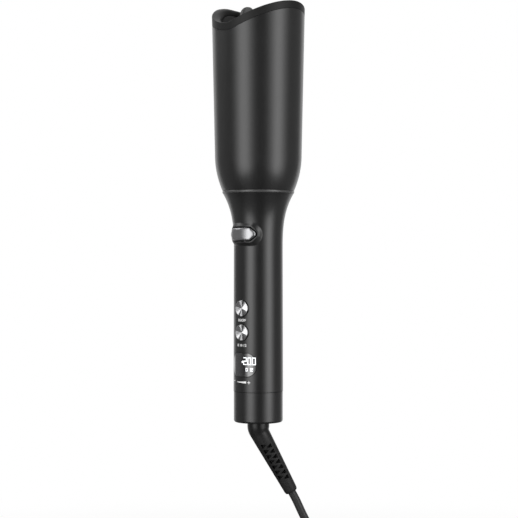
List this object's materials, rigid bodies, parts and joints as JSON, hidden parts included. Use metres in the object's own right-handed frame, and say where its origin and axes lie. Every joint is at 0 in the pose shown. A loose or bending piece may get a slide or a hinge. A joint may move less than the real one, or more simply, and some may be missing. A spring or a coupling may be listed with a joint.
{
  "type": "automatic hair curler",
  "caption": "Hand-held hair curler with an open waved chamber, a turning barrel with claws, a round handle with display, buttons and rocker, an end ring and a tied power cord.",
  "frame": {"origin": "on the handle's axis, in the middle of the grip, 95 mm above the end ring's face", "axes": "+Z along the handle towards the head; the buttons face -Y and the hair slot faces +Y"},
  "size_m": [0.0873, 0.0692, 0.5876],
  "materials": {
    "satin_black": "semi-gloss moulded plastic",
    "gloss_black": "polished, tinted window",
    "trim_black": "satin",
    "chrome": "bright plating",
    "spun_steel": "spun, with circular lines",
    "ceramic": "ceramic-coated aluminium",
    "steel": "plain",
    "copper": "bare copper alloy",
    "aluminium": "bare",
    "board_green": "solder mask",
    "grey_plastic": "moulded",
    "dark_grey_plastic": "heat-resistant moulding",
    "white_ceramic": "bare ceramic",
    "cord_black": "soft, slightly shiny"
  },
  "bodies": {
    "housing": {"head_shell": "satin_black", "crown_trim": "trim_black", "handle_tube": "satin_black", "rocker_bezel": "satin_black", "display_window": "gloss_black", "chamber_liner": "dark_grey_plastic", "floor_bearing": "copper", "motor_can": "steel", "gearbox": "steel", "motor_plate": "aluminium", "motor_screw_1": "steel", "motor_screw_2": "steel", "motor_screw_3": "steel", "chassis": "grey_plastic", "chassis_screw_1": "steel", "chassis_screw_2": "steel", "control_board": "board_green", "lcd_module": "grey_plastic", "power_switch": "grey_plastic", "timer_switch": "grey_plastic", "rocker_switch": "grey_plastic", "rocker_pin": "steel", "power_board": "board_green", "capacitor_large": "aluminium", "capacitor_small": "aluminium", "transformer": "grey_plastic", "tail_core": "grey_plastic", "swivel_retainer": "grey_plastic", "dial_encoder": "board_green", "brush_block": "grey_plastic"},
    "rotor": {"drive_shaft": "steel", "rotor_base": "dark_grey_plastic", "slip_ring_hub": "grey_plastic", "slip_ring_lower": "copper", "slip_ring_upper": "copper", "curling_barrel": "ceramic", "heater_block_front": "aluminium", "heater_block_rear": "aluminium", "ptc_heater": "white_ceramic", "claw_cap": "trim_black", "cap_screw": "steel"},
    "rocker": {"direction_rocker": "chrome"},
    "power_key": {"power_button": "spun_steel"},
    "timer_key": {"timer_button": "spun_steel"},
    "end_dial": {"temperature_dial": "satin_black"},
    "cord_swivel": {"cord_boot": "cord_black", "power_cord": "cord_black", "cord_hank": "cord_black", "hank_tie": "cord_black", "cord_tail": "cord_black", "plug_body": "cord_black", "plug_pin_left": "steel", "plug_pin_right": "steel"}
  },
  "joints": [
    {"name": "rotor_spin", "type": "hinge", "parent": "housing", "child": "rotor", "pos_m": [0, 0, 0.1], "axis": [0, 0, 1], "continuous": true},
    {"name": "rocker_tilt", "type": "hinge", "parent": "housing", "child": "rocker", "pos_m": [0, -0.0135, 0.0382], "axis": [0, 0, 1], "range_deg": [-4, 4], "stiffness_Nm_per_rad": 0.3},
    {"name": "power_press", "type": "slide", "parent": "housing", "child": "power_key", "axis": [0, 1, 0], "range_m": [0, 0.0008], "stiffness_N_per_m": 900, "springref_m": -0.0008},
    {"name": "timer_press", "type": "slide", "parent": "housing", "child": "timer_key", "axis": [0, 1, 0], "range_m": [0, 0.0008], "stiffness_N_per_m": 900, "springref_m": -0.0008},
    {"name": "dial_turn", "type": "hinge", "parent": "housing", "child": "end_dial", "pos_m": [0, 0, -0.085], "axis": [0, 0, 1], "range_deg": [-135, 135]},
    {"name": "cord_turn", "type": "hinge", "parent": "housing", "child": "cord_swivel", "pos_m": [0, 0, -0.09], "axis": [0, 0, 1], "continuous": true}
  ]
}
